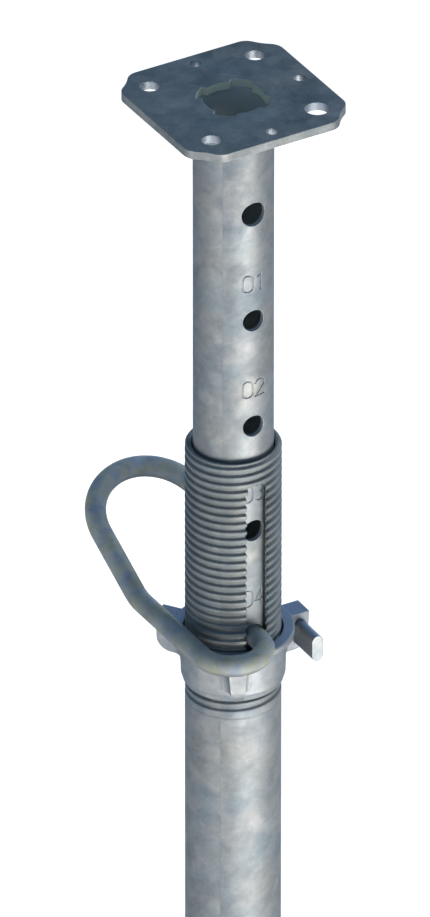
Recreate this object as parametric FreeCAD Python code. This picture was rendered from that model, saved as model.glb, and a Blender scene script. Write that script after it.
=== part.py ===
import FreeCAD, Part
import math
import os

os.makedirs("parts", exist_ok=True)
V = FreeCAD.Vector

# Driving dimensions in mm. Origin at the centre of the base plate's underside, +Z up the prop,
# -Y is the side where the pin enters.

# tubes; the outer tube is sized round the inner one
INNER_R = 31.75
INNER_WALL = 3.8
INNER_LEN = 741.0
TUBE_GAP = 2.3
OUTER_WALL = 4.0
OUTER_LEN = 859.8
RIM_GAP = 1.2
RIM_LIP = 12.0
FOOT_GAP = 0.45
FOOT_SWAGE = 14.0
OUTER_BORE_R = INNER_R + TUBE_GAP
OUTER_R = OUTER_BORE_R + OUTER_WALL
RIM_BORE_R = INNER_R + RIM_GAP
FOOT_R = OUTER_BORE_R - FOOT_GAP

# end plates; holes keep their distance from the plate's edge
PLATE_SIDE = 143.0
PLATE_T = 7.0
CORNER_CONVEX_R = 12.5
CORNER_CONCAVE_R = 40.0
CORNER_TURN = 55.0
CORNER_HOLE_EDGE = 24.25
CORNER_HOLE_D = 15.2
BIG_HOLE_D = 19.2
SIDE_HOLE_EDGE = 12.0
SIDE_HOLE_D = 9.6
OPENING_LEDGE = 3.45
NOTCH_BITE = 1.05
NOTCH_W = 18.0
WELD_LEG = 5.0
SEAT_GAP = 0.05
CORNER_HOLE_POS = PLATE_SIDE / 2 - CORNER_HOLE_EDGE
SIDE_HOLE_POS = PLATE_SIDE / 2 - SIDE_HOLE_EDGE
OPENING_R = INNER_R - INNER_WALL - OPENING_LEDGE
NOTCH_REACH = INNER_R - INNER_WALL + NOTCH_BITE

# pin bar, and the height of its axis below the outer tube's rim
BAR_R = 8.5
PIN_CLEARANCE = 1.5
PIN_DROP = 161.8
RIM_Z = PLATE_T + OUTER_LEN
PIN_Z = RIM_Z - PIN_DROP

# cross holes and numbers; the pin stands in hole number PIN_HOLE and carries the inner tube
HOLE_PITCH = 96.0
HOLE_D = 2 * BAR_R + PIN_CLEARANCE
HOLE_COUNT = 6
PIN_HOLE = 4
TOP_HOLE_D = 20.7
TOP_HOLE_DROP = 89.0
TOP_HOLE_Z = PIN_Z + HOLE_PITCH * PIN_HOLE
HEAD_Z = TOP_HOLE_Z + TOP_HOLE_DROP
INNER_FOOT_Z = HEAD_Z - PLATE_T - INNER_LEN
LABEL_RISE = 34.5
DIGIT_H = 14.7
DIGIT_W = 8.4
DIGIT_STROKE = 1.4
DIGIT_STEP = 10.8
DIGIT_DEPTH = 0.6

# thread and slot
PITCH = 7.2
THREAD_DEPTH = 2.3
THREAD_LEN = 229.8
GROOVE_FLOOR = 2.0
GROOVE_OPEN = 4.4
RUNOUT_DROP = 4.0
SLOT_DROP = 20.2
SLOT_LEN = 165.6
THREAD_END_Z = RIM_Z - THREAD_LEN
RUNOUT_Z = THREAD_END_Z - RUNOUT_DROP
SLOT_W = 2 * BAR_R + PIN_CLEARANCE
SLOT_TOP_Z = RIM_Z - SLOT_DROP
SLOT_BOTTOM_Z = SLOT_TOP_Z - SLOT_LEN

# hook; its bends stand off the outer tube
PIN_REACH = 9.95
PIN_CHAMFER = 2.5
BEND_GAP = 2.85
LEG_GAP = 4.85
FOLD_GAP = 21.95
FOLD_R = 30.0
PIN_TIP_Y = OUTER_R + PIN_REACH
BEND_Y = -OUTER_R - BEND_GAP
BEND_R = (OUTER_R + BAR_R + LEG_GAP) / 2
FOLD_Y = OUTER_R + FOLD_GAP
LOOP_RISE = 27.9
LOOP_LEG = 64.5
LOOP_R = 47.75
TAIL_LEAN = 12.0
TAIL_LEN = 55.0

# nut; its radii are the outer tube's plus a wall, and its top carries the pin
PIN_SEAT = 0.3
NUT_TOP_Z = PIN_Z - BAR_R - PIN_SEAT
FLANGE_R = OUTER_R + 10.35
FLANGE_T = 5.0
SKIRT_TOP_R = OUTER_R + 4.25
SKIRT_LOW_R = OUTER_R + 3.25
SKIRT_LEN = 39.7
NUT_LEN = 45.5
NUT_LOW_R = OUTER_R + 1.55
THREAD_GAP = 0.65
FLANK_GAP = 0.55
MOUTH_R = OUTER_R + 1.55
MOUTH_DEPTH = 4.0
LUG_R = OUTER_R + 25.55
LUG_W = 15.2
WIDE_LUG_W = 18.0
LUG_DRAFT = 2.9
LUG_TOP = 0.8
LUG_BOTTOM = 35.0
LUG_CORNER_R = 12.0
LUG_FILLET = 9.0
WIDE_LUG_FILLET = 6.0
WIDE_LUG_ANGLE = -1.0
LEFT_LUG_ANGLE = 125.5
FRONT_LUG_ANGLE = 243.0
FINGER_INSET = 8.2
FINGER_X = LUG_R - FINGER_INSET
FINGER_T = 9.6
FINGER_H = 22.8
FINGER_Z = 18.3
FINGER_END_Y = -37.0
ROOT_GROOVE = 0.9


def line(p, q):
    return Part.LineSegment(p, q).toShape()


def arc3(p, m, q):
    return Part.Arc(p, m, q).toShape()


def solid_of(shape):
    solids = shape.Solids
    if len(solids) != 1:
        raise RuntimeError("expected one solid, got %d" % len(solids))
    return solids[0]


def export(shape, name):
    shape = solid_of(shape)
    if not shape.isValid():
        raise RuntimeError(name + " is not a valid solid")
    shape.exportStep("parts/" + name + ".step")


def ring_profile(points, quarters=False):
    # closed profile in the XZ plane turned about Z; a point is (r, z) or ("arc", mid, end)
    edges = []
    last = V(points[0][0], 0, points[0][1])
    for item in points[1:] + [points[0]]:
        if item[0] == "arc":
            mid = V(item[1][0], 0, item[1][1])
            end = V(item[2][0], 0, item[2][1])
            edges.append(arc3(last, mid, end))
        else:
            end = V(item[0], 0, item[1])
            edges.append(line(last, end))
        last = end
    face = Part.Face(Part.Wire(edges))
    if not quarters:
        return face.revolve(V(0, 0, 0), V(0, 0, 1), 360)
    # four quarter turns, so that thread edges never wind round one whole face
    face.rotate(V(0, 0, 0), V(0, 0, 1), 45)
    quarter = face.revolve(V(0, 0, 0), V(0, 0, 1), 90)
    pieces = []
    for count in range(1, 4):
        piece = quarter.copy()
        piece.rotate(V(0, 0, 0), V(0, 0, 1), 90 * count)
        pieces.append(piece)
    return quarter.fuse(pieces)


def plate_outline():
    half = PLATE_SIDE / 2
    flip = 2 * (CORNER_TURN - 45)
    reach = CORNER_CONVEX_R * (math.sin(math.radians(CORNER_TURN)) + 1 - math.cos(math.radians(CORNER_TURN)))
    reach += CORNER_CONCAVE_R * 2 * math.sin(math.radians(flip / 2)) * math.cos(math.radians(45))
    start = half - reach
    edges = []
    for quarter in range(4):
        turn = FreeCAD.Rotation(V(0, 0, 1), -90 * quarter)
        pos = V(start, half, 0)
        heading = 0.0
        first = turn.multVec(V(-start, half, 0))
        edges.append(line(first, turn.multVec(pos)))
        for radius, sweep in ((CORNER_CONVEX_R, -CORNER_TURN), (CORNER_CONCAVE_R, flip),
                              (CORNER_CONVEX_R, -CORNER_TURN)):
            side = -1 if sweep < 0 else 1
            normal = math.radians(heading + 90 * side)
            centre = pos + V(radius * math.cos(normal), radius * math.sin(normal), 0)
            ends = []
            for part in (0.5, 1.0):
                angle = math.radians(heading + sweep * part - 90 * side)
                ends.append(centre + V(radius * math.cos(angle), radius * math.sin(angle), 0))
            edges.append(arc3(turn.multVec(pos), turn.multVec(ends[0]), turn.multVec(ends[1])))
            pos = ends[1]
            heading = heading + sweep
    return Part.Wire(Part.__sortEdges__(edges))


def end_plate(bottom):
    plate = Part.Face(plate_outline()).extrude(V(0, 0, PLATE_T))
    cuts = []
    for sx, sy in ((1, 1), (-1, 1), (-1, -1), (1, -1)):
        size = BIG_HOLE_D if (sx, sy) == (1, -1) else CORNER_HOLE_D
        at = V(sx * CORNER_HOLE_POS, sy * CORNER_HOLE_POS, -1)
        cuts.append(Part.makeCylinder(size / 2, PLATE_T + 2, at))
    for sx, sy in ((1, 0), (0, 1), (0, -1)):
        at = V(sx * SIDE_HOLE_POS, sy * SIDE_HOLE_POS, -1)
        cuts.append(Part.makeCylinder(SIDE_HOLE_D / 2, PLATE_T + 2, at))
    opening = Part.makeCylinder(OPENING_R, PLATE_T + 2, V(0, 0, -1))
    for angle in (45, 135):
        bar = Part.makeBox(2 * NOTCH_REACH, NOTCH_W, PLATE_T + 2, V(-NOTCH_REACH, -NOTCH_W / 2, -1))
        round_end = Part.makeCylinder(NOTCH_REACH, PLATE_T + 2, V(0, 0, -1))
        bar = bar.common(round_end)
        bar.rotate(V(0, 0, 0), V(0, 0, 1), angle)
        opening = opening.fuse(bar)
    cuts.append(opening.removeSplitter())
    plate = plate.cut(cuts)
    plate.translate(V(0, 0, bottom))
    return plate


def fillet_bead(radius, z, up):
    # ring bead in the corner between a tube and a plate, its face slightly bulged
    inner = radius + SEAT_GAP
    outer = inner + WELD_LEG
    tip = z + up * WELD_LEG
    mid = (inner + WELD_LEG * 0.57, z + up * WELD_LEG * 0.57)
    return ring_profile([(inner, z), (outer, z), ("arc", mid, (inner, tip))])


def helix_sweep(profile_points, bottom, height):
    # closed profile of (r, z) points swept round the helix
    spine = Part.makeLongHelix(PITCH, height, OUTER_R, 0, False)
    spine.translate(V(0, 0, bottom))
    corners = [V(r, 0, bottom + z) for r, z in profile_points]
    profile = Part.makePolygon(corners + [corners[0]])
    swept = Part.Wire(spine.Edges).makePipeShell([profile], True, True)
    return Part.Solid(swept) if swept.ShapeType != "Solid" else swept


def groove_half(radius):
    # half width of the thread groove at a radius; its flanks are straight
    slope = (GROOVE_OPEN - GROOVE_FLOOR) / 2 / THREAD_DEPTH
    return GROOVE_FLOOR / 2 + slope * (radius - OUTER_R + THREAD_DEPTH)


def slot_block():
    half = SLOT_W / 2
    low = SLOT_BOTTOM_Z + half
    high = SLOT_TOP_Z - half
    box = Part.makeBox(SLOT_W, 120, high - low, V(-half, -60, low))
    ends = [Part.makeCylinder(half, 120, V(0, -60, z), V(0, 1, 0)) for z in (low, high)]
    return box.fuse(ends).removeSplitter()


def outer_tube():
    rim = RIM_Z
    mid_r = (OUTER_R + RIM_BORE_R) / 2
    nose = (OUTER_R - RIM_BORE_R) / 2
    dip = nose * (1 - math.sqrt(0.5))
    body = ring_profile([
        (OUTER_BORE_R, PLATE_T), (OUTER_R, PLATE_T),
        (OUTER_R, RUNOUT_Z - 0.5), (OUTER_R - 0.5, RUNOUT_Z), (OUTER_R, RUNOUT_Z + 0.5),
        (OUTER_R, rim - nose),
        ("arc", (OUTER_R - dip, rim - dip), (mid_r, rim)),
        ("arc", (RIM_BORE_R + dip, rim - dip), (RIM_BORE_R, rim - nose)),
        (RIM_BORE_R, rim - RIM_LIP), (OUTER_BORE_R, rim - RIM_LIP - 2),
    ], True)
    floor_r = OUTER_R - THREAD_DEPTH
    top_r = OUTER_R + 0.5
    groove = helix_sweep([
        (top_r, -groove_half(top_r)), (floor_r, -groove_half(floor_r)),
        (floor_r, groove_half(floor_r)), (top_r, groove_half(top_r)),
    ], THREAD_END_Z, RIM_Z - THREAD_END_Z + PITCH)
    body = body.cut(groove)
    return body.cut(slot_block())


def stroke_line(p, q):
    # straight stroke with rounded ends in the XZ plane, as a slab along Y
    half = DIGIT_STROKE / 2
    a = V(p[0], 0, p[1])
    b = V(q[0], 0, q[1])
    side = (b - a).cross(V(0, 1, 0)).normalize() * half
    ahead = (b - a).normalize() * half
    wire = Part.Wire([
        line(a + side, b + side), arc3(b + side, b + ahead, b - side),
        line(b - side, a - side), arc3(a - side, a - ahead, a + side),
    ])
    return Part.Face(wire).extrude(V(0, 20, 0))


def stroke_arc(centre, radius, start, end):
    # arc stroke; angles in degrees in the XZ plane
    half = DIGIT_STROKE / 2

    def at(r, angle):
        t = math.radians(angle)
        return V(centre[0] + r * math.cos(t), 0, centre[1] + r * math.sin(t))

    if abs(end - start) >= 360:
        big = Part.makeCylinder(radius + half, 20, V(centre[0], 0, centre[1]), V(0, 1, 0))
        small = Part.makeCylinder(radius - half, 20, V(centre[0], 0, centre[1]), V(0, 1, 0))
        return big.cut(small)
    mid = (start + end) / 2
    wire = Part.Wire([
        arc3(at(radius + half, start), at(radius + half, mid), at(radius + half, end)),
        line(at(radius + half, end), at(radius - half, end)),
        arc3(at(radius - half, end), at(radius - half, mid), at(radius - half, start)),
        line(at(radius - half, start), at(radius + half, start)),
    ])
    return Part.Face(wire).extrude(V(0, 20, 0))


def digit(value):
    h = DIGIT_H
    w = DIGIT_W
    r = w / 2
    if value == 0:
        return [stroke_arc((0, r), r, 180, 360), stroke_arc((0, h - r), r, 0, 180),
                stroke_line((-r, r), (-r, h - r)), stroke_line((r, r), (r, h - r))]
    if value == 1:
        return [stroke_line((0.6, 0), (0.6, h)), stroke_line((0.6, h), (-2.2, h - 2.8))]
    if value == 2:
        turn = math.radians(-35)
        low = (r * math.cos(turn), h - r + r * math.sin(turn))
        return [stroke_arc((0, h - r), r, -35, 170), stroke_line(low, (-r, 0)), stroke_line((-r, 0), (r, 0))]
    if value == 3:
        top = 0.24 * h
        low = 0.26 * h
        return [stroke_arc((0, h - top), top, -90, 145), stroke_arc((0, low), low, -150, 90)]
    if value == 4:
        return [stroke_line((1.6, 0), (1.6, h)), stroke_line((1.6, h), (-r, 0.28 * h)),
                stroke_line((-r, 0.28 * h), (r + 0.2, 0.28 * h))]
    if value == 5:
        bowl = 0.3 * h
        turn = math.radians(130)
        joint = (-0.4 + bowl * math.cos(turn), bowl + bowl * math.sin(turn))
        return [stroke_line((-2.7, h), (r - 0.3, h)), stroke_line((-2.7, h), joint),
                stroke_arc((-0.4, bowl), bowl, -140, 130)]
    bowl = 0.26 * h
    return [stroke_arc((0, bowl), bowl, 0, 360), stroke_line((-0.88 * bowl, 1.5 * bowl), (1.6, h))]


def label(value, centre_z):
    # two-digit number on the pin side of the inner tube, cut to an even depth
    strokes = []
    for place, number in enumerate((value // 10, value % 10)):
        for piece in digit(number):
            piece.translate(V((place - 0.5) * DIGIT_STEP, -INNER_R - 5, centre_z - DIGIT_H / 2))
            strokes.append(piece)
    text = strokes[0].fuse(strokes[1:])
    low = centre_z - DIGIT_H
    skin = Part.makeCylinder(INNER_R + 1, 2 * DIGIT_H, V(0, 0, low))
    skin = skin.cut(Part.makeCylinder(INNER_R - DIGIT_DEPTH, 2 * DIGIT_H, V(0, 0, low)))
    return text.common(skin)


def inner_tube():
    top = HEAD_Z - PLATE_T
    bore = INNER_R - INNER_WALL
    foot = FOOT_R - INNER_WALL
    body = ring_profile([
        (foot, INNER_FOOT_Z), (FOOT_R - 1, INNER_FOOT_Z), (FOOT_R, INNER_FOOT_Z + 1),
        (FOOT_R, INNER_FOOT_Z + FOOT_SWAGE), (INNER_R, INNER_FOOT_Z + FOOT_SWAGE + 6),
        (INNER_R, top), (bore, top),
        (bore, INNER_FOOT_Z + FOOT_SWAGE + 7), (foot, INNER_FOOT_Z + FOOT_SWAGE + 1),
    ])
    cuts = [Part.makeCylinder(TOP_HOLE_D / 2, 100, V(0, -50, TOP_HOLE_Z), V(0, 1, 0))]
    for number in range(1, HOLE_COUNT + 1):
        z = TOP_HOLE_Z - HOLE_PITCH * number
        cuts.append(Part.makeCylinder(HOLE_D / 2, 100, V(0, -50, z), V(0, 1, 0)))
    body = body.cut(cuts)
    for number in range(1, HOLE_COUNT + 1):
        z = TOP_HOLE_Z - HOLE_PITCH * number + LABEL_RISE
        body = body.cut(label(number, z))
    return body


def g_hook():
    # pin, tight bend and side leg lie flat; behind the tube the bar folds up into the hand loop
    z = PIN_Z
    rise = math.radians(LOOP_RISE)
    side_x = -2 * BEND_R
    ahead = V(0, math.cos(rise), math.sin(rise))
    tip = V(0, PIN_TIP_Y - PIN_CHAMFER, z)
    bend_in = V(0, BEND_Y, z)
    bend_mid = V(-BEND_R, BEND_Y - BEND_R, z)
    bend_out = V(side_x, BEND_Y, z)
    fold = V(side_x, FOLD_Y, z)
    trim = FOLD_R * math.tan(rise / 2)
    fold_in = fold - V(0, trim, 0)
    fold_out = fold + ahead * trim
    fold_mid = fold_in + V(0, math.sin(rise / 2), 1 - math.cos(rise / 2)) * FOLD_R
    loop_in = fold + ahead * LOOP_LEG
    loop_c = loop_in + V(LOOP_R, 0, 0)

    def on_loop(angle):
        t = math.radians(angle)
        return loop_c + V(1, 0, 0) * (LOOP_R * math.cos(t)) + ahead * (LOOP_R * math.sin(t))

    loop_mid = on_loop((180 + TAIL_LEAN) / 2)
    loop_out = on_loop(TAIL_LEAN)
    lean = math.radians(TAIL_LEAN)
    tail_dir = V(1, 0, 0) * math.sin(lean) - ahead * math.cos(lean)
    tail = loop_out + tail_dir * (TAIL_LEN - 1.5)
    path = Part.Wire([
        line(tip, bend_in), arc3(bend_in, bend_mid, bend_out), line(bend_out, fold_in),
        arc3(fold_in, fold_mid, fold_out), line(fold_out, loop_in),
        arc3(loop_in, loop_mid, loop_out), line(loop_out, tail),
    ])
    ring = Part.Wire(Part.makeCircle(BAR_R, tip, V(0, -1, 0)))
    bar = path.makePipeShell([ring], True, False)
    pin_end = Part.makeCone(BAR_R, BAR_R - PIN_CHAMFER, PIN_CHAMFER, tip, V(0, 1, 0))
    tail_end = Part.makeCone(BAR_R, BAR_R - 1.5, 1.5, tail, tail_dir)
    return bar.fuse([pin_end, tail_end])


def lug_outline(width, fillet, z):
    # radial wing in plan, with concave roots on the skirt
    half = width / 2
    centre_x = math.sqrt((SKIRT_TOP_R + fillet) ** 2 - (half + fillet) ** 2)
    centre_y = half + fillet
    root = math.atan2(centre_y, centre_x)
    mid_angle = (root + math.pi + math.radians(270)) / 2
    mx = centre_x + fillet * math.cos(mid_angle)
    my = centre_y + fillet * math.sin(mid_angle)
    rx = SKIRT_TOP_R * math.cos(root)
    ry = SKIRT_TOP_R * math.sin(root)
    inside = SKIRT_LOW_R - 1.5
    ix = inside * math.cos(root)
    iy = inside * math.sin(root)
    return Part.Wire([
        line(V(ix, -iy, z), V(rx, -ry, z)),
        arc3(V(rx, -ry, z), V(mx, -my, z), V(centre_x, -half, z)),
        line(V(centre_x, -half, z), V(LUG_R, -half, z)),
        line(V(LUG_R, -half, z), V(LUG_R, half, z)),
        line(V(LUG_R, half, z), V(centre_x, half, z)),
        arc3(V(centre_x, half, z), V(mx, my, z), V(rx, ry, z)),
        line(V(rx, ry, z), V(ix, iy, z)),
        arc3(V(ix, iy, z), V(inside, 0, z), V(ix, -iy, z)),
    ])


def lug(width, fillet, top, bottom):
    # wing that narrows downward, with a rounded lower outer corner
    upper = lug_outline(width, fillet, -top)
    lower = lug_outline(width - 2 * LUG_DRAFT, fillet, -bottom)
    block = Part.makeLoft([upper, lower], True, True)
    corner = LUG_CORNER_R
    low = -bottom
    cutter = Part.Face(Part.Wire([
        line(V(LUG_R - corner, -40, low - 1), V(LUG_R + 5, -40, low - 1)),
        line(V(LUG_R + 5, -40, low - 1), V(LUG_R + 5, -40, low + corner)),
        line(V(LUG_R + 5, -40, low + corner), V(LUG_R, -40, low + corner)),
        arc3(V(LUG_R, -40, low + corner),
             V(LUG_R - corner * (1 - math.sqrt(0.5)), -40, low + corner * (1 - math.sqrt(0.5))),
             V(LUG_R - corner, -40, low)),
        line(V(LUG_R - corner, -40, low), V(LUG_R - corner, -40, low - 1)),
    ])).extrude(V(0, 80, 0))
    return block.cut(cutter)


def adjusting_nut():
    fil = 3.0
    step = fil * (1 - math.sqrt(0.5))
    bore = OUTER_R + THREAD_GAP
    body = ring_profile([
        (bore, -NUT_LEN), (NUT_LOW_R, -NUT_LEN), (SKIRT_LOW_R, -SKIRT_LEN),
        (SKIRT_TOP_R, -FLANGE_T - fil),
        ("arc", (SKIRT_TOP_R + step, -FLANGE_T - step), (SKIRT_TOP_R + fil, -FLANGE_T)),
        (FLANGE_R, -FLANGE_T), (FLANGE_R, -0.8), (FLANGE_R - 0.8, 0),
        (MOUTH_R, 0), (MOUTH_R, -MOUTH_DEPTH), (bore, -MOUTH_DEPTH - 1),
    ], True)
    lugs = []
    for turn, width, fillet in ((WIDE_LUG_ANGLE, WIDE_LUG_W, WIDE_LUG_FILLET),
                                (LEFT_LUG_ANGLE, LUG_W, LUG_FILLET), (FRONT_LUG_ANGLE, LUG_W, LUG_FILLET)):
        block = lug(width, fillet, LUG_TOP, LUG_BOTTOM)
        if turn == WIDE_LUG_ANGLE:
            block = block.cut(finger(ROOT_GROOVE, -WIDE_LUG_W / 2 + ROOT_GROOVE, -WIDE_LUG_W / 2 - 5))
            block = block.fuse(finger(0, 0, FINGER_END_Y))
        block.rotate(V(0, 0, 0), V(0, 0, 1), turn)
        lugs.append(block)
    body = body.fuse(lugs)
    # inside thread: a ridge that follows the tube's groove with running clearance
    bottom = -NUT_LEN + 4.5
    height = 4.5 * PITCH
    ridge = thread_ridge(height)
    phase = (NUT_TOP_Z + bottom - THREAD_END_Z) / PITCH
    ridge.rotate(V(0, 0, 0), V(0, 0, 1), 360 * (phase - math.floor(phase)))
    ridge.translate(V(0, 0, bottom))
    keep = Part.makeCylinder(bore + 0.3, NUT_LEN + 20, V(0, 0, -NUT_LEN - 10))
    body = body.fuse(ridge.common(keep))
    body.translate(V(0, 0, NUT_TOP_Z))
    return body


def thread_ridge(height):
    crest_r = OUTER_R - THREAD_DEPTH + THREAD_GAP
    root_r = OUTER_R + THREAD_GAP + 1.0
    crest = groove_half(crest_r) - FLANK_GAP
    root = groove_half(root_r) - FLANK_GAP
    return helix_sweep([(root_r, -root), (crest_r, -crest), (crest_r, crest), (root_r, root)], 0, height)


def finger(grow, start_y, end_y):
    # flat bar with round edges, running along -Y beside the wide lug
    half_t = FINGER_T / 2 + grow
    half_h = FINGER_H / 2 + grow
    straight = half_h - half_t
    y = start_y
    top = V(FINGER_X, y, -FINGER_Z + half_h)
    low = V(FINGER_X, y, -FINGER_Z - half_h)
    a = V(FINGER_X - half_t, y, -FINGER_Z + straight)
    b = V(FINGER_X + half_t, y, -FINGER_Z + straight)
    c = V(FINGER_X + half_t, y, -FINGER_Z - straight)
    d = V(FINGER_X - half_t, y, -FINGER_Z - straight)
    wire = Part.Wire([arc3(a, top, b), line(b, c), arc3(c, low, d), line(d, a)])
    return Part.Face(wire).extrude(V(0, end_y - start_y, 0))


export(end_plate(0).removeSplitter(), "base_plate")
export(fillet_bead(OUTER_R, PLATE_T, 1), "base_weld")
export(outer_tube(), "outer_tube")
export(inner_tube().removeSplitter(), "inner_tube")
export(end_plate(HEAD_Z - PLATE_T).removeSplitter(), "head_plate")
export(fillet_bead(INNER_R, HEAD_Z - PLATE_T, -1), "head_weld")
export(adjusting_nut(), "adjusting_nut")
export(g_hook().removeSplitter(), "g_hook")
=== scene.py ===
import math
from collections import namedtuple

import bpy
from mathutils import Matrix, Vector


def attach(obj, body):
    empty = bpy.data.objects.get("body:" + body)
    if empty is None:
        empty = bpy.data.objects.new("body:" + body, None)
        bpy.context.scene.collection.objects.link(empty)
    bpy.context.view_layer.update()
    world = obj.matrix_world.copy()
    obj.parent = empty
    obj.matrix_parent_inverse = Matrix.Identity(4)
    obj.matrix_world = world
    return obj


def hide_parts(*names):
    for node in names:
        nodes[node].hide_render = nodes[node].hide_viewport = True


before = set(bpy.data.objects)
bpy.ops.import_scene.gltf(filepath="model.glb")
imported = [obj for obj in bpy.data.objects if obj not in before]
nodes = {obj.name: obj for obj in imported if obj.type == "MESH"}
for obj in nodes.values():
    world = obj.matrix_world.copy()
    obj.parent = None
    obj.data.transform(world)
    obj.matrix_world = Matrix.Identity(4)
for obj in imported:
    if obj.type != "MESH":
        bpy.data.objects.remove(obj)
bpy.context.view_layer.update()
scene = bpy.context.scene
scene.view_settings.view_transform = "Standard"

# Camera, fitted to the photograph's nearly parallel view of the head and nut
CAMERA_AZIMUTH = math.radians(-30.33)
CAMERA_ELEVATION = math.radians(31.654)
CAMERA_LENS = 740.0
CAMERA_DISTANCE = 14.742
CAMERA_CLIP_END = 60.0
CAMERA_TARGET = Vector((-0.00864, 0.01352, 0.84586))

# Places and sizes on the prop, in metres from its axis and its foot
INNER_RADIUS = 0.03175
OUTER_RADIUS = 0.03805
PLATE_THICKNESS = 0.007
HEAD_UNDERSIDE = 1.171
SEAM_ANGLE = math.radians(224.5)
CUT_DEPTH_RADIUS = 0.0311
THREAD_FOOT = 0.640
THREAD_FADE = 0.01
SLOT_EDGE = 0.00925
SLOT_BOTTOM = 0.681
SLOT_TOP = 0.8466
LIP_START = 0.0004
LIP_FADE = 0.0016
LIP_END = 0.0026
HOLE_FIELD = 0.068
HOLE_CORNER = 0.115
OPENING_FIELD = 0.032
HAND_FOOT = 0.706
HAND_TOP = 0.740

# Weld beads
WELD_LEG = 0.005
SEAT_GAP = 0.00005
BEAD_ROWS = 11
RIPPLE_STEPS = 10
BASE_RIPPLES = 64
HEAD_RIPPLES = 54
RIPPLE_LAG = 0.35
RIPPLE_RISE = 0.13
RIPPLE_EASE = 0.6
RIPPLE_DROP = 0.06
FACE_CUT = 0.29
FACE_CROWN = 0.35

# Zinc colours from the dark hollows to the pale bloom, and the greys at which they stand
TUBE_TONES = ((0.160, 0.180, 0.192), (0.202, 0.219, 0.230), (0.240, 0.252, 0.258), (0.285, 0.290, 0.290))
PLATE_TONES = ((0.135, 0.154, 0.162), (0.188, 0.205, 0.212), (0.240, 0.250, 0.250), (0.308, 0.308, 0.300))
CAST_TONES = ((0.180, 0.205, 0.226), (0.232, 0.253, 0.272), (0.276, 0.290, 0.302), (0.340, 0.347, 0.349))
BAR_TONES = ((0.228, 0.252, 0.250), (0.298, 0.320, 0.314), (0.352, 0.368, 0.356), (0.424, 0.434, 0.412))
TONE_STOPS = (0.375, 0.465, 0.545, 0.64)

# Cool and warm stains, with the noise at which they are cool, absent and warm
FAINT_STAINS = ((0.88, 1.00, 1.06), (1.05, 1.01, 0.93))
STRONG_STAINS = ((0.84, 0.92, 1.16), (1.08, 1.06, 0.82))
NO_STAIN = (1.0, 1.0, 1.0)
STAIN_STOPS = (0.36, 0.5, 0.64)

# Wear, dirt and oxide, with painted shade, a painted sky reflection and a darker low end on the hook
RUBBED_ZINC = (0.46, 0.47, 0.48, 1.0)
# dark line along the tube's weld seam, and painted shade in creases
SEAM_LINE_AND_CREASE_SHADE = (0.05, 0.055, 0.06, 1.0)
BORE_OXIDE = (0.44, 0.465, 0.45, 1.0)
HOLE_ZINC = (0.27, 0.30, 0.34, 1.0)
CUT_ZINC = (0.38, 0.41, 0.46, 1.0)
OPENING_OXIDE = (0.62, 0.60, 0.46, 1.0)
THREAD_GRIME = (0.10, 0.118, 0.102, 1.0)
# painted shade on the thread ends along one edge of each slot
SLOT_LIP_SHADE = (0.060, 0.072, 0.070, 1.0)
# painted shade on the hook's down-facing faces
UNDERSIDE_SHADE = (0.085, 0.095, 0.095, 1.0)
# darker colour towards the hook's low end
LOW_END_DARKENING = (0.13, 0.135, 0.120, 1.0)
# painted reflection of the slate sky on the nut's up-facing faces
TOP_SKY_REFLECTION = (0.240, 0.300, 0.400, 1.0)
COAT_STAIN = 0.25
FLECK_COVER = 0.15
SEAM_LINE_WIDTH = 0.04
SEAM_LINE_COVER = 0.08
# how strongly the painted shade in creases covers the zinc
CREASE_SHADE_COVER = 0.7

# Metal sheen and relief
EDGE_TINT = (0.25, 0.34, 0.46, 1.0)
ROUGHNESS_SWING = 0.05
RELIEF_DEPTH = 0.0012
GRAIN_RELIEF = 0.35
CLOUD_RELIEF = 0.3

# Zinc pattern: how it is drawn out or broken, and each layer's share of the tone
SEAM_SLIP = 0.012
SEAM_DECAY = -0.5
WOBBLE_REACH = 0.012
LEVEL_STRETCH = (0.8, 0.8, 1.15)
RUN_STRETCH = (1.0, 1.0, 0.12)
CLOUD_SHARE = 0.24
PATCH_SHARE = 0.12
ACROSS_SHARE = 0.32
SMEAR_SHARE = 0.18
RUN_SHARE = 0.06
GRAIN_SHARE = 0.08

# Studio
FLOOR_HALF = 30.0
FLOOR_DROP = 0.0005
FLOOR_GLOW = 0.95
FLOOR_GREY = (0.25, 0.25, 0.25, 1.0)
SKY_WHITE = (1.0, 1.0, 1.0)
SKY_SLATE = (0.193, 0.305, 0.450)
SKY_STOPS = (0.14, 0.24)

# Layers of finish, dirt, painted shade and painted reflection laid over the zinc where a mask says: a
# metallic of None leaves the zinc's own
Coat = namedtuple("Coat", "mask colour cover metallic", defaults=(1.0, None))

# Softbox at a distance from the axis and a height, aimed at a height on the axis
Lamp = namedtuple("Lamp", "name direction distance height aim_height size watts colour")


def feed(tree, socket, value):
    if isinstance(value, bpy.types.NodeSocket):
        tree.links.new(value, socket)
    else:
        socket.default_value = value


def add(tree, kind, inputs=None, **settings):
    node = tree.nodes.new("ShaderNode" + kind)
    for name, value in settings.items():
        setattr(node, name, value)
    for key, value in (inputs or {}).items():
        feed(tree, node.inputs[key], value)
    return node


def calc(tree, operation, a, b=0.0, c=0.0):
    return add(tree, "Math", {0: a, 1: b, 2: c}, operation=operation).outputs[0]


def times(tree, a, b):
    return calc(tree, "MULTIPLY", a, b)


def vector(tree, operation, a, b, out=0):
    key = "Scale" if operation == "SCALE" else 1
    return add(tree, "VectorMath", {0: a, key: b}, operation=operation).outputs[out]


def noise(tree, place, scale, detail=4.0, roughness=0.55, out="Fac"):
    inputs = {"Vector": place, "Scale": scale, "Detail": detail, "Roughness": roughness}
    return add(tree, "TexNoise", inputs).outputs[out]


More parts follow.
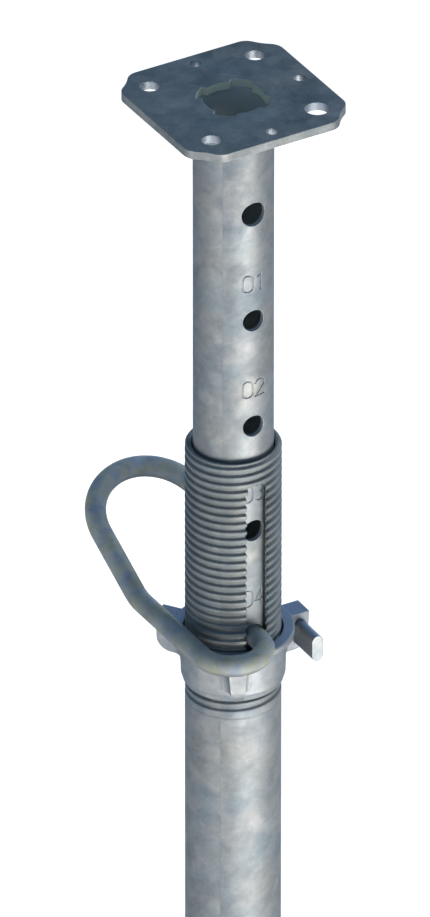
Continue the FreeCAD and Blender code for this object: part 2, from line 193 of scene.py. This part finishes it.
def spread(tree, value, low, high, to_low=0.0, to_high=1.0):
    inputs = {"Value": value, "From Min": low, "From Max": high, "To Min": to_low, "To Max": to_high}
    return add(tree, "MapRange", inputs).outputs["Result"]


def ramp(tree, fac, places, colours):
    node = add(tree, "ValToRGB", {"Fac": fac})
    elements = node.color_ramp.elements
    while len(elements) < len(places):
        elements.new(0.5)
    for element, place, colour in zip(elements, places, colours):
        element.position = place
        element.color = (*colour, 1.0)
    return node.outputs["Color"]


def mix(tree, fac, a, b, mode="MIX"):
    node = add(tree, "Mix", data_type="RGBA", blend_type=mode)
    feed(tree, node.inputs["Factor"], fac)
    # of the node's sockets that share a name, 6, 7 and output 2 are the colours
    feed(tree, node.inputs[6], a)
    feed(tree, node.inputs[7], b)
    return node.outputs[2]


def parts_of(tree, place):
    return add(tree, "SeparateXYZ", {0: place}).outputs


def face_normal(tree):
    return add(tree, "NewGeometry").outputs["Normal"]


def from_axis(tree, coords):
    return vector(tree, "MULTIPLY", coords, (1.0, 1.0, 0.0))


def outward(tree, coords):
    return add(tree, "VectorMath", {0: from_axis(tree, coords)}, operation="NORMALIZE").outputs[0]


def axis_distance(tree, coords):
    return add(tree, "VectorMath", {0: from_axis(tree, coords)}, operation="LENGTH").outputs["Value"]


def outward_facing(tree, coords):
    # 1 where a face looks straight out from the axis, -1 where it looks in
    return vector(tree, "DOT_PRODUCT", face_normal(tree), outward(tree, coords), "Value")


def upward_facing(tree):
    # 1 where a face looks straight up, -1 where it looks down
    return parts_of(tree, face_normal(tree))["Z"]


def upright_face(tree):
    return spread(tree, calc(tree, "ABSOLUTE", upward_facing(tree)), low=0.6, high=0.3)


def bore_wall(tree, coords):
    # 1 on a tube's inside wall
    return spread(tree, outward_facing(tree, coords), low=-0.3, high=-0.7)


def cut_wall(tree, coords):
    # 1 on the walls of the inner tube's cross holes, below the depth of the digits
    turned = spread(tree, calc(tree, "ABSOLUTE", outward_facing(tree, coords)), low=0.85, high=0.7)
    deep = calc(tree, "LESS_THAN", axis_distance(tree, coords), CUT_DEPTH_RADIUS)
    return times(tree, turned, deep)


def hole_wall(tree, coords):
    # 1 on the upright walls of a plate's holes, inside its outline
    place = parts_of(tree, coords)
    across = calc(tree, "ABSOLUTE", place["X"])
    along = calc(tree, "ABSOLUTE", place["Y"])
    inside = calc(tree, "LESS_THAN", calc(tree, "MAXIMUM", across, along), HOLE_FIELD)
    off_corner = calc(tree, "LESS_THAN", calc(tree, "ADD", across, along), HOLE_CORNER)
    return times(tree, times(tree, inside, off_corner), upright_face(tree))


def opening_wall(tree, coords):
    # 1 on the wall of a plate's opening over the tube
    near = calc(tree, "LESS_THAN", axis_distance(tree, coords), OPENING_FIELD)
    return times(tree, near, upright_face(tree))


def thread_band(tree, coords):
    # 1 on the threaded upper part of the outer tube
    return spread(tree, parts_of(tree, coords)["Z"], low=THREAD_FOOT, high=THREAD_FOOT + THREAD_FADE)


def slot_lip(tree, coords):
    # 1 on the narrow lip of thread ends along one edge of each slot, where painted shade goes
    place = parts_of(tree, coords)
    side = times(tree, place["X"], times(tree, calc(tree, "SIGN", place["Y"]), -1.0))
    lip = times(tree, spread(tree, side, low=SLOT_EDGE, high=SLOT_EDGE + LIP_START),
                spread(tree, side, low=SLOT_EDGE + LIP_END, high=SLOT_EDGE + LIP_FADE))
    above = calc(tree, "GREATER_THAN", place["Z"], SLOT_BOTTOM + SLOT_EDGE)
    below = calc(tree, "LESS_THAN", place["Z"], SLOT_TOP - SLOT_EDGE)
    return times(tree, times(tree, lip, above), below)


def top_face(tree, coords):
    # 1 where a face looks up; the nut's tops take a painted sky reflection there
    return spread(tree, upward_facing(tree), low=0.75, high=0.95)


def under_face(tree, coords):
    # 1 where a face looks down; the hook's underside takes painted shade there
    return spread(tree, upward_facing(tree), low=-0.15, high=-0.75)


def low_end(tree, coords):
    # 1 on the low end of the hook, which is coloured darker
    return spread(tree, parts_of(tree, coords)["Z"], low=HAND_TOP, high=HAND_FOOT)


def seam_offset(tree, coords):
    # angle round the tube between a point and the tube's weld seam
    place = parts_of(tree, coords)
    angle = calc(tree, "ARCTAN2", place["Y"], place["X"])
    return calc(tree, "WRAP", calc(tree, "SUBTRACT", angle, SEAM_ANGLE), math.pi, -math.pi)


def break_at_seam(tree, coords, offset):
    # the zinc pattern slips along the seam, and the slip dies down round the tube
    fade = calc(tree, "EXPONENT", times(tree, calc(tree, "ABSOLUTE", offset), SEAM_DECAY))
    slip = times(tree, times(tree, calc(tree, "SIGN", offset), fade), SEAM_SLIP)
    return vector(tree, "ADD", coords, add(tree, "CombineXYZ", {"Z": slip}).outputs[0])


def zinc_tone(tree, pattern, cloud_scale):
    # clouds, soft patches, smears across, runs down and fine grain, mixed to one grey near 0.5
    wobble = noise(tree, pattern, scale=60.0, detail=4.0, roughness=0.6, out="Color")
    wobble = vector(tree, "SUBTRACT", wobble, (0.5, 0.5, 0.5))
    warped = vector(tree, "ADD", pattern, vector(tree, "SCALE", wobble, WOBBLE_REACH))
    level = vector(tree, "MULTIPLY", warped, LEVEL_STRETCH)
    runs = vector(tree, "MULTIPLY", pattern, RUN_STRETCH)
    cells = add(tree, "TexVoronoi", {"Vector": warped, "Scale": 72.0, "Smoothness": 0.6}, feature="SMOOTH_F1")
    patches = add(tree, "SeparateColor", {0: cells.outputs["Color"]}).outputs[0]
    clouds = noise(tree, warped, cloud_scale, detail=6.0, roughness=0.62)
    across = noise(tree, level, scale=62.0, detail=6.0, roughness=0.68)
    smears = noise(tree, level, scale=175.0, detail=5.0, roughness=0.68)
    down = noise(tree, runs, scale=95.0, detail=3.0)
    grain = noise(tree, pattern, scale=430.0, detail=4.0, roughness=0.65)
    tone = times(tree, clouds, CLOUD_SHARE)
    for layer, share in ((patches, PATCH_SHARE), (across, ACROSS_SHARE), (smears, SMEAR_SHARE),
                         (down, RUN_SHARE), (grain, GRAIN_SHARE)):
        tone = calc(tree, "MULTIPLY_ADD", layer, share, tone)
    relief = calc(tree, "MULTIPLY_ADD", grain, GRAIN_RELIEF, times(tree, clouds, CLOUD_RELIEF))
    return tone, relief, warped


def surface_normal(tree, coords, round_tube, threaded, softness):
    # softened edges; a plain tube wall takes its true round normal
    soft = add(tree, "Bevel", {"Radius": softness}, samples=6).outputs["Normal"]
    edge = spread(tree, vector(tree, "DOT_PRODUCT", soft, face_normal(tree), "Value"), low=0.995, high=0.90)
    if round_tube:
        radial = outward(tree, coords)
        wall = spread(tree, vector(tree, "DOT_PRODUCT", soft, radial, "Value"), low=0.965, high=0.985)
        if threaded:
            plain = calc(tree, "LESS_THAN", parts_of(tree, coords)["Z"], THREAD_FOOT)
            wall = times(tree, wall, plain)
        soft = mix(tree, wall, soft, radial)
    return soft, edge


def zinc(name, tones, metallic, roughness, cloud_scale=30.0, stains=FAINT_STAINS, stain=0.5, stain_scale=26.0,
         bump=0.25, softness=0.0008, crease=0.0014, rub=0.5, round_tube=False, threaded=False, coats=()):
    """Hot-dip zinc with cloudy tones, rubbed edges, painted shade in the creases, and coats over parts of it.
    """
    material = bpy.data.materials.new(name)
    material.use_nodes = True
    tree = material.node_tree
    shader = tree.nodes["Principled BSDF"]
    coords = add(tree, "TexCoord").outputs["Object"]
    pattern = coords
    if round_tube:
        offset = seam_offset(tree, coords)
        pattern = break_at_seam(tree, coords, offset)
    tone, relief, warped = zinc_tone(tree, pattern, cloud_scale)
    normal, edge = surface_normal(tree, coords, round_tube, threaded, softness)

    colour = ramp(tree, tone, TONE_STOPS, tones)
    cool, warm = stains
    hue = ramp(tree, noise(tree, warped, stain_scale, detail=3.0), STAIN_STOPS, (cool, NO_STAIN, warm))
    colour = mix(tree, stain, colour, hue, "MULTIPLY")
    specks = noise(tree, pattern, scale=190.0, detail=2.0)
    fleck = spread(tree, specks, low=0.66, high=0.74, to_high=FLECK_COVER)
    colour = mix(tree, fleck, colour, RUBBED_ZINC)
    if round_tube:
        from_seam = calc(tree, "ABSOLUTE", offset)
        line = spread(tree, from_seam, low=0.0, high=SEAM_LINE_WIDTH, to_low=SEAM_LINE_COVER, to_high=0.0)
        colour = mix(tree, line, colour, SEAM_LINE_AND_CREASE_SHADE)
    colour = mix(tree, times(tree, edge, rub), colour, RUBBED_ZINC)
    # painted shade: darker where ambient occlusion finds a crease
    open_sky = add(tree, "AmbientOcclusion", {"Distance": crease}, samples=8, only_local=True).outputs["AO"]
    crease_shade = spread(tree, open_sky, low=0.30, high=0.80, to_low=CREASE_SHADE_COVER, to_high=0.0)
    colour = mix(tree, crease_shade, colour, SEAM_LINE_AND_CREASE_SHADE)
    for coat in coats:
        share = times(tree, coat.mask(tree, coords), coat.cover)
        colour = mix(tree, share, colour, mix(tree, COAT_STAIN, coat.colour, hue, "MULTIPLY"))
        if coat.metallic is not None:
            metallic = spread(tree, share, low=0.0, high=1.0, to_low=metallic, to_high=coat.metallic)

    gloss = spread(tree, tone, low=0.38, high=0.62,
                   to_low=roughness + ROUGHNESS_SWING, to_high=roughness - ROUGHNESS_SWING)
    bumps = {"Strength": bump, "Distance": RELIEF_DEPTH, "Height": relief, "Normal": normal}
    shader.inputs["Specular Tint"].default_value = EDGE_TINT
    feed(tree, shader.inputs["Base Color"], colour)
    feed(tree, shader.inputs["Metallic"], metallic)
    feed(tree, shader.inputs["Roughness"], gloss)
    feed(tree, shader.inputs["Normal"], add(tree, "Bump", bumps).outputs["Normal"])
    return material


def paint(piece, material):
    piece.data.materials.clear()
    piece.data.materials.append(material)


def weld_bead(name, tube_radius, root_z, up, ripples, material):
    """Fillet bead with overlapping ripples, running once round a tube in its corner with a plate."""
    steps = ripples * RIPPLE_STEPS
    inner = tube_radius + SEAT_GAP
    verts = []
    for step in range(steps):
        turn = 2 * math.pi * step / steps
        for row in range(BEAD_ROWS):
            share = row / (BEAD_ROWS - 1)
            # the ripple front lags at both toes of the bead
            lag = RIPPLE_LAG * (2 * share - 1) ** 2
            wave = (step / RIPPLE_STEPS - lag) % 1.0
            crown = math.sin(math.pi * share)
            swell = 1.0 + crown * (RIPPLE_RISE * wave ** RIPPLE_EASE - RIPPLE_DROP)
            lean = math.pi / 2 * share
            # the face is cut back from a quarter circle, and no ripple reaches past it
            flat = 1.0 - FACE_CUT * crown * (1.0 - FACE_CROWN * crown)
            reach = WELD_LEG * flat * min(swell, 1.0 / flat)
            radius = inner + reach * math.cos(lean)
            height = root_z + up * reach * math.sin(lean)
            verts.append((radius * math.cos(turn), radius * math.sin(turn), height))
        verts.append((inner * math.cos(turn), inner * math.sin(turn), root_z))
    ring = BEAD_ROWS + 1
    faces = []
    for step in range(steps):
        ahead = (step + 1) % steps
        for row in range(ring):
            beside = (row + 1) % ring
            face = (step * ring + row, ahead * ring + row, ahead * ring + beside, step * ring + beside)
            faces.append(face if up > 0 else face[::-1])
    mesh = bpy.data.meshes.new(name)
    mesh.from_pydata(verts, [], faces)
    # the face of the bead is smooth, and its two seats are flat
    smooth_rows = [index % ring < BEAD_ROWS - 1 for index in range(len(faces))]
    mesh.polygons.foreach_set("use_smooth", smooth_rows)
    bead = bpy.data.objects.new(name, mesh)
    scene.collection.objects.link(bead)
    paint(bead, material)
    return bead


tube_bore = Coat(bore_wall, BORE_OXIDE, metallic=0.0)
tube_zinc = zinc("tube_zinc", TUBE_TONES, metallic=0.7, roughness=0.58, cloud_scale=40.0, round_tube=True,
                 coats=(Coat(cut_wall, CUT_ZINC, metallic=0.35), tube_bore))
thread_zinc = zinc("thread_zinc", TUBE_TONES, metallic=0.7, roughness=0.58, cloud_scale=40.0, softness=0.0022,
                   rub=0.2, round_tube=True, threaded=True,
                   # the second coat is painted shade along one edge of each slot
                   coats=(Coat(thread_band, THREAD_GRIME, cover=0.3), Coat(slot_lip, SLOT_LIP_SHADE, cover=0.5),
                          tube_bore))
plate_zinc = zinc("plate_zinc", PLATE_TONES, metallic=0.7, roughness=0.56,
                  coats=(Coat(hole_wall, HOLE_ZINC), Coat(opening_wall, OPENING_OXIDE, metallic=0.0)))
cast_zinc = zinc("cast_zinc", CAST_TONES, metallic=0.75, roughness=0.52, bump=0.45, crease=0.0032, rub=0.3,
                 # painted sky reflection on the nut's up-facing faces
                 coats=(Coat(top_face, TOP_SKY_REFLECTION, cover=0.85),))
bar_zinc = zinc("bar_zinc", BAR_TONES, metallic=0.4, roughness=0.70, cloud_scale=50.0, stains=STRONG_STAINS,
                stain=0.85, stain_scale=75.0,
                # painted shade on the hook's underside
                # the second coat darkens the hook towards its low end
                coats=(Coat(under_face, UNDERSIDE_SHADE, cover=0.75), Coat(low_end, LOW_END_DARKENING, cover=0.20)))
weld_zinc = zinc("weld_zinc", PLATE_TONES, metallic=0.7, roughness=0.50, cloud_scale=60.0)
for node_name, finish in (("outer_tube", thread_zinc), ("inner_tube", tube_zinc), ("base_plate", plate_zinc),
                          ("head_plate", plate_zinc), ("adjusting_nut", cast_zinc), ("g_hook", bar_zinc)):
    paint(nodes[node_name], finish)

base_bead = weld_bead("base_weld_bead", OUTER_RADIUS, PLATE_THICKNESS, 1, BASE_RIPPLES, weld_zinc)
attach(base_bead, "outer")
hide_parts("base_weld")
head_bead = weld_bead("head_weld_bead", INNER_RADIUS, HEAD_UNDERSIDE, -1, HEAD_RIPPLES, weld_zinc)
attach(head_bead, "inner")
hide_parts("head_weld")


def pale_floor():
    # white to the camera and in reflections, and it takes the soft shadow
    corners = [(FLOOR_HALF * x, FLOOR_HALF * y, 0.0) for x, y in ((-1, -1), (1, -1), (1, 1), (-1, 1))]
    mesh = bpy.data.meshes.new("floor")
    mesh.from_pydata(corners, [], [(0, 1, 2, 3)])
    floor = bpy.data.objects.new("floor", mesh)
    floor.location.z = -FLOOR_DROP
    scene.collection.objects.link(floor)
    material = bpy.data.materials.new("floor_white")
    material.use_nodes = True
    tree = material.node_tree
    tree.nodes.remove(tree.nodes["Principled BSDF"])
    rays = add(tree, "LightPath").outputs
    seen = calc(tree, "MAXIMUM", rays["Is Camera Ray"], rays["Is Glossy Ray"])
    seen = calc(tree, "MAXIMUM", seen, rays["Is Transmission Ray"])
    glow = add(tree, "Emission", {"Strength": times(tree, seen, FLOOR_GLOW)})
    matt = add(tree, "BsdfDiffuse", {"Color": FLOOR_GREY})
    total = add(tree, "AddShader", {0: glow.outputs[0], 1: matt.outputs[0]})
    feed(tree, tree.nodes["Material Output"].inputs["Surface"], total.outputs[0])
    paint(floor, material)


def sky():
    # white below the horizon, slate blue above it
    world = bpy.data.worlds.new("studio")
    scene.world = world
    world.use_nodes = True
    tree = world.node_tree
    up = parts_of(tree, add(tree, "TexCoord").outputs["Generated"])["Z"]
    shade = ramp(tree, spread(tree, up, low=-0.10, high=0.60), SKY_STOPS, (SKY_WHITE, SKY_SLATE))
    feed(tree, tree.nodes["Background"].inputs["Color"], shade)


def softbox(lamp):
    light = bpy.data.lights.new(lamp.name, "AREA")
    light.shape = "RECTANGLE"
    light.size, light.size_y = lamp.size
    light.energy = lamp.watts
    light.color = lamp.colour
    box = bpy.data.objects.new(lamp.name, light)
    east, north = lamp.direction
    box.location = Vector((east * lamp.distance, north * lamp.distance, lamp.height))
    aim = Vector((0.0, 0.0, lamp.aim_height)) - box.location
    box.rotation_mode = "QUATERNION"
    box.rotation_quaternion = aim.to_track_quat("-Z", "Y")
    box.visible_camera = False
    scene.collection.objects.link(box)


pale_floor()
sky()
softbox(Lamp("key", direction=(0.09, -0.996), distance=1.15, height=0.27, aim_height=1.00,
             size=(1.10, 0.50), watts=21.5, colour=(1.0, 0.96, 0.90)))
softbox(Lamp("fill", direction=(-0.93, -0.37), distance=1.6, height=0.32, aim_height=0.70,
             size=(1.0, 0.60), watts=9.2, colour=(1.0, 0.98, 0.95)))
softbox(Lamp("back", direction=(0.94, 0.34), distance=2.2, height=2.3, aim_height=0.7,
             size=(1.2, 1.2), watts=22.0, colour=(0.86, 0.93, 1.0)))
softbox(Lamp("rear", direction=(0.50, 0.866), distance=2.0, height=0.5, aim_height=0.7,
             size=(0.9, 0.8), watts=15.0, colour=(0.95, 0.98, 1.0)))

back = Vector((math.sin(CAMERA_AZIMUTH) * math.cos(CAMERA_ELEVATION),
               -math.cos(CAMERA_AZIMUTH) * math.cos(CAMERA_ELEVATION), math.sin(CAMERA_ELEVATION)))
lens = bpy.data.cameras.new("camera")
lens.lens = CAMERA_LENS
lens.clip_end = CAMERA_CLIP_END
camera = bpy.data.objects.new("camera", lens)
camera.location = CAMERA_TARGET + back * CAMERA_DISTANCE
camera.rotation_mode = "QUATERNION"
camera.rotation_quaternion = (-back).to_track_quat("-Z", "Y")
scene.collection.objects.link(camera)
scene.camera = camera
